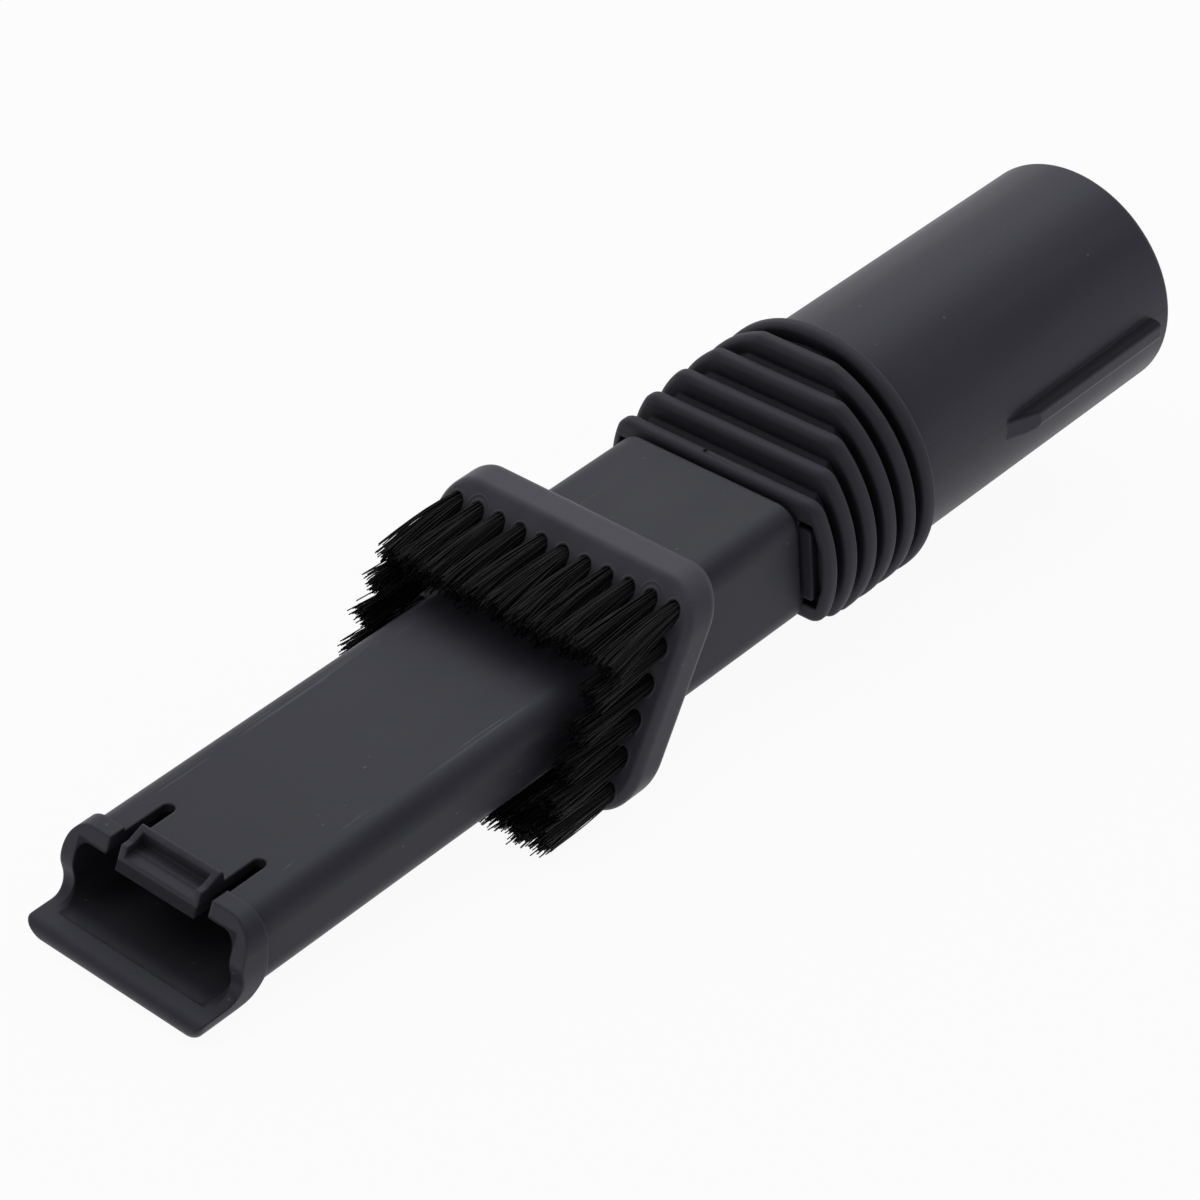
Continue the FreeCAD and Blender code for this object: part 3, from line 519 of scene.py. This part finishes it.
def make_tuft(number, material):
    """Tuft of single bristles that stands where the CAD tuft is, tight in its hole and spread at its tips."""
    node = tuft_name(number)
    low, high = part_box(node)
    middle = (low + high) / 2
    reach = (high.y - low.y) / 2
    rng = random.Random(number * TUFT_SEED)
    lean = sideways_shake(rng, TUFT_LEAN)
    if number <= TOP_ROW:
        lean.z -= TOP_DROOP
    points, faces, tones = [], [], []
    for k in range(FILAMENTS):
        share = math.sqrt((k + 0.5) / FILAMENTS)
        angle = k * GOLDEN_ANGLE + rng.uniform(-ANGLE_SHAKE, ANGLE_SHAKE)
        outward = Vector((0.0, math.cos(angle), math.sin(angle)))
        root = Vector((high.x - ROOT_INSET, middle.y, middle.z)) + outward * share * reach * ROOT_SHARE
        stray = rng.random() < STRAY_SHARE
        spread = reach * share * rng.uniform(*TIP_SPREAD)
        cut = TRIMMED + rng.gauss(0, RAGGED) + share * CROWN
        tip = Vector((max(low.x + cut, low.x), middle.y, middle.z)) + outward * spread
        tip += sideways_shake(rng, STRAY_SHAKE if stray else TIP_SHAKE)
        tone = STRAY_TONE if stray else rng.uniform(*BRISTLE_TONES)
        add_tube(points, faces, tones, filament_path(rng, root, tip, lean), tone)
    mesh = bpy.data.meshes.new(f"bristles_{number:02d}")
    mesh.from_pydata(points, [], faces)
    mesh.attributes.new("tone", "FLOAT", "POINT").data.foreach_set("value", tones)
    mesh.shade_smooth()
    mesh.materials.append(material)
    piece = bpy.data.objects.new(mesh.name, mesh)
    bpy.context.scene.collection.objects.link(piece)
    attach(piece, "brush")
    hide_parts(node)


def make_camera():
    data = bpy.data.cameras.new("camera")
    data.lens = LENS
    data.sensor_fit = "HORIZONTAL"
    data.sensor_width = SENSOR
    data.clip_start = NEAREST
    camera = bpy.data.objects.new("camera", data)
    camera.location = CAMERA_PLACE
    camera.rotation_euler = [math.radians(angle) for angle in CAMERA_TURN]
    bpy.context.scene.collection.objects.link(camera)
    bpy.context.scene.camera = camera


def seen_rays(tree):
    """1 for rays that show a surface, straight or in a reflection, and 0 for rays that only light it."""
    rays = tree.add("ShaderNodeLightPath").outputs
    return tree.any_of([rays["Is Camera Ray"], rays["Is Glossy Ray"], rays["Is Transmission Ray"]])


def make_floor():
    """White floor under the lip and the bellows, tilted so that the tool rests on it."""
    slope = (REST_REAR[1] - REST_FRONT[1]) / (REST_REAR[0] - REST_FRONT[0])
    corners = []
    for x, y in ((-1, -1), (1, -1), (1, 1), (-1, 1)):
        height = REST_FRONT[1] + slope * (x * FLOOR_HALF - REST_FRONT[0])
        corners.append((x * FLOOR_HALF, y * FLOOR_HALF, height))
    mesh = bpy.data.meshes.new("floor")
    mesh.from_pydata(corners, [], [(0, 1, 2, 3)])
    material, tree = new_material("white_floor")
    board = tree.add("ShaderNodeBsdfDiffuse", {"Color": opaque(FLOOR_GREY)})
    glow = tree.add("ShaderNodeEmission", {"Color": opaque(WHITE), "Strength": 1.0})
    share = tree.times(seen_rays(tree), FLOOR_GLOW)
    blend = tree.add("ShaderNodeMixShader", {0: share, 1: board.outputs[0], 2: glow.outputs[0]})
    tree.add("ShaderNodeOutputMaterial", {"Surface": blend.outputs[0]})
    mesh.materials.append(material)
    floor = bpy.data.objects.new("floor", mesh)
    bpy.context.scene.collection.objects.link(floor)


def make_world():
    """Studio with one bright side. Its horizon is seen, also in reflections, as a white backdrop."""
    world = bpy.data.worlds.new("studio")
    world.use_nodes = True
    bpy.context.scene.world = world
    tree = Nodes(world.node_tree)
    direction = tree.add("ShaderNodeTexCoord").outputs["Generated"]
    bright = tree.ramp(tree.dot(direction, BRIGHT_SIDE), *BRIGHT_FADE)
    colour = tree.mix(bright, shaded(WHITE, DIM), shaded(WHITE, BRIGHT))
    height = tree.math("ABSOLUTE", tree.split(direction)["Z"])
    backdrop = tree.all_of([seen_rays(tree), tree.ramp(height, *HORIZON_FADE)])
    colour = tree.mix(backdrop, colour, opaque(WHITE))
    light = tree.add("ShaderNodeBackground", {"Color": colour, "Strength": 1.0})
    tree.add("ShaderNodeOutputWorld", {"Surface": light.outputs[0]})


def make_lamp(name, place, size, power):
    """Soft square lamp that faces the tool."""
    data = bpy.data.lights.new(name, "AREA")
    data.size = size
    data.energy = power
    lamp = bpy.data.objects.new(name, data)
    lamp.location = place
    aim = Vector(LAMP_AIM) - Vector(place)
    lamp.rotation_euler = aim.to_track_quat("-Z", "Y").to_euler()
    bpy.context.scene.collection.objects.link(lamp)


bpy.context.scene.view_settings.view_transform = "Standard"
make_camera()
make_floor()
make_world()
for lamp_values in LAMPS:
    make_lamp(*lamp_values)

tube = shell_material("satin_tube", SHELL, reach=22 * MM, scratched=0.4, marks_and_shade_of=tube_marks_and_shade)
socket = shell_material("satin_socket", SOCKET, reach=9 * MM, scratched=0.5, marks_and_shade_of=socket_painted_shade)
collar = shell_material("satin_collar", COLLAR, reach=9 * MM, scratched=0.0, marks_and_shade_of=collar_marks)
dress("nozzle", tube)
dress("wand_socket", socket)
dress("brush_collar", collar)
dress("bellows", rubber_material())

bristle = bristle_material()
for tuft_number in range(1, tuft_count + 1):
    make_tuft(tuft_number, bristle)
